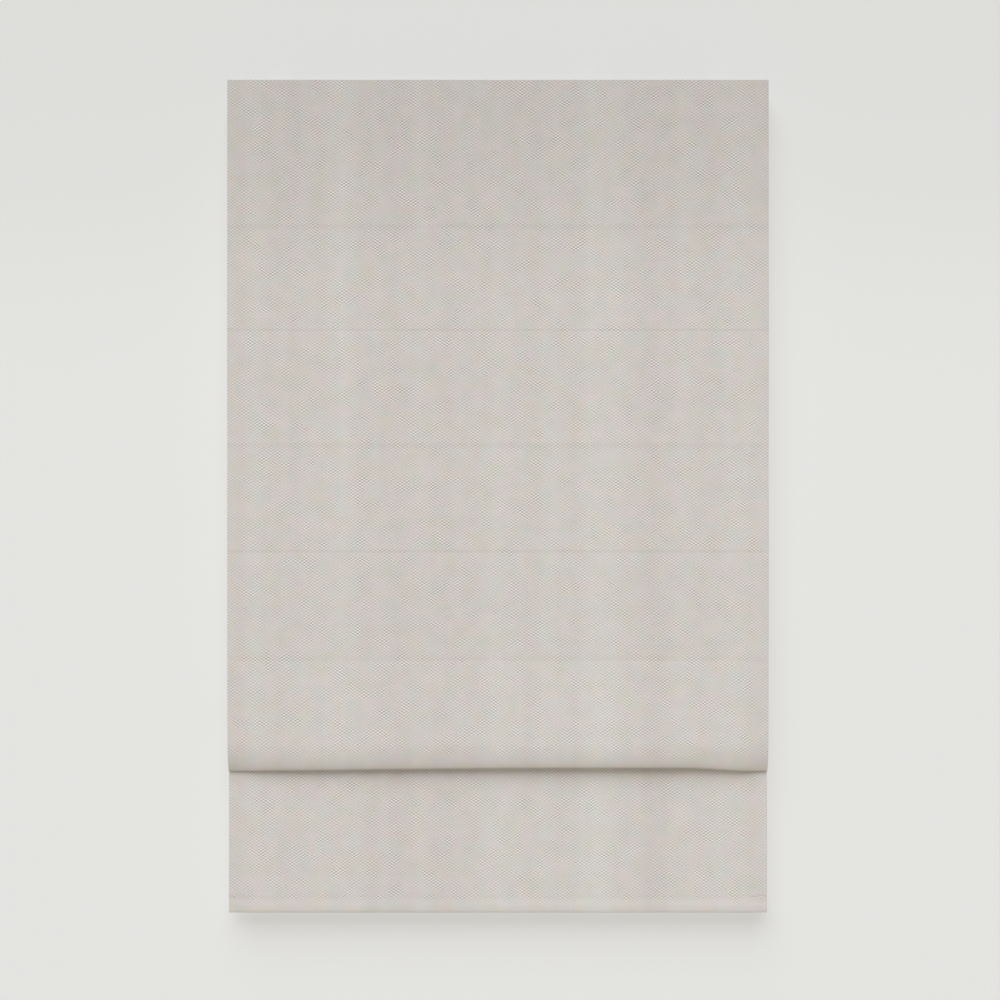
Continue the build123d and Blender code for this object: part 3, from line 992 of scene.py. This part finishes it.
def cord_winding(side):
    """The turns of a lift cord on its spool."""
    bm = bmesh.new()
    width = 2 * cord_radius * cord_turns
    start = Vector((cord_x[side] - width / 2, cord_y, shaft.z))
    steps = cord_turns * turn_steps
    ring = bmesh.ops.create_circle(bm, segments=8, radius=cord_radius)["verts"]
    bmesh.ops.translate(bm, verts=ring, vec=start)
    bmesh.ops.spin(
        bm, geom=bm.edges[:], cent=(start.x, shaft.y, shaft.z), axis=(1, 0, 0),
        dvec=(width / steps, 0, 0), angle=2 * math.pi * cord_turns, steps=steps)
    bmesh.ops.holes_fill(bm, edges=[e for e in bm.edges if e.is_boundary])
    bmesh.ops.recalc_face_normals(bm, faces=bm.faces)
    for face in bm.faces:
        face.smooth = True
    winding = add_piece(f"cord_winding_{side}", bm, "cord_braid")
    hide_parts(f"lift_cord_{side}")
    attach(winding, "lift_drive")


cord_runs = (
    ("cord_to_first_ring", shaft.z, rod_z["first"], "headrail_unit", "raise_first"),
    ("cord_to_second_ring", rod_z["first"], rod_z["second"], "first_rod_unit", "raise"),
    ("cord_to_third_ring", rod_z["second"], rod_z["third"], "second_rod_unit", "raise_third"),
)
for side in sides:
    cord_winding(side)
    for name, top, bottom, body, joint in cord_runs:
        run = cord_run(name, side, top, bottom, run_cuts)
        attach(run, body)
        1 - travel[joint] / ((top - bottom) * slide_lean.z)
        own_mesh(run)
    last = cord_run("cord_to_bead", side, rod_z["third"], cord_foot, last_run_cuts)
    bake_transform(last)


# Stage, light and camera

def add_stage(name, corners, colour):
    """A plain pale sheet behind or under the blind, seen from its front only.

    It lights no matt surface and throws no shadow.
    """
    bm = bmesh.new()
    bm.faces.new([bm.verts.new(corner) for corner in corners])
    sheet = add_mesh(name, bm)
    look = finish_look(name)
    shaded = look.node("BsdfDiffuse", sockets={"Color": colour})
    bright = look.node("Emission", sockets={"Color": colour})
    plain = look.node("MixShader", sockets={0: 0.5, 1: shaded, 2: bright})
    clear = look.node("BsdfTransparent")
    behind = look.node("NewGeometry", out="Backfacing")
    seen = look.node("MixShader", sockets={0: behind, 1: plain, 2: clear})
    look.node("OutputMaterial", sockets={"Surface": seen}, out=())
    sheet.data.materials.append(look.owner)
    sheet.visible_diffuse = False
    sheet.visible_shadow = False


backdrop_y = 0.03
backdrop_top = 5.0
floor_z = -2.3
stage_reach = 9.0
left, right = -stage_reach, stage_reach
front, back = -stage_reach, stage_reach
add_stage(
    "backdrop",
    [(left, backdrop_y, floor_z), (right, backdrop_y, floor_z),
     (right, backdrop_y, backdrop_top), (left, backdrop_y, backdrop_top)],
    paint(228, 228, 226))
add_stage(
    "floor",
    [(left, front, floor_z), (right, front, floor_z), (right, back, floor_z), (left, back, floor_z)],
    paint(222, 222, 220))


def add_front_light(name, y, low, high, width, spread, power):
    """A wide soft box in front that throws its light straight back, from one height to another."""
    lamp = bpy.data.lights.new(name, "AREA")
    lamp.shape = "RECTANGLE"
    lamp.size = width
    lamp.size_y = high - low
    lamp.spread = math.radians(spread)
    lamp.energy = power
    light = add_object(name, lamp)
    light.location = (0, y, (low + high) / 2)
    light.rotation_euler = (math.pi / 2, 0, 0)


def add_sky_light(name, towards, spread, strength, colour):
    """A wide soft light that falls evenly, from above and in front or behind."""
    lamp = bpy.data.lights.new(name, "SUN")
    lamp.angle = math.radians(spread)
    lamp.color = colour
    lamp.energy = strength
    light = add_object(name, lamp)
    light.rotation_euler = Vector(towards).to_track_quat("-Z", "Y").to_euler()


add_sky_light("key", towards=(0.18, 1.0, -1.32), spread=52, strength=2.745, colour=(0.962, 1.0, 1.06))
add_front_light("fill", y=-3.2, low=-2.2, high=-0.235, width=3.2, spread=12, power=2.3)
add_sky_light("rear", towards=(-0.3, -1.0, -0.25), spread=60, strength=2.0, colour=(0.98, 1.0, 1.03))

# The sky: soft light from all round, stronger and warmer from below, and pale where it is seen
glow_below = (0.55, 0.50, 0.425, 1)
glow_above = (0.195, 0.195, 0.195, 1)
studio = Look(bpy.data.worlds.new("studio"))
height = studio.node("SeparateXYZ", sockets={0: studio.node("TexCoord", out="Generated")}, out="Z")
glow = studio.mix(studio.clamp(height * 0.8 + 0.5), glow_below, glow_above)
seen, mirrored, through = studio.node(
    "LightPath", out=("Is Camera Ray", "Is Glossy Ray", "Is Transmission Ray"))
shown = studio.mix(studio.clamp(seen + mirrored + through), glow, paint(226, 226, 224))
studio.node("OutputWorld", sockets={"Surface": studio.node("Background", sockets={"Color": shown})}, out=())
bpy.context.scene.world = studio.owner

camera_x = 0.0035
camera_z = -0.711
camera_distance = 2.8
camera = add_object("camera", bpy.data.cameras.new("camera"))
camera.location = (camera_x, face_y - camera_distance, camera_z)
camera.rotation_euler = (math.pi / 2, 0, 0)
camera.data.lens = 59.7
camera.data.sensor_width = 36
bpy.context.scene.camera = camera
bpy.context.scene.view_settings.view_transform = "Standard"
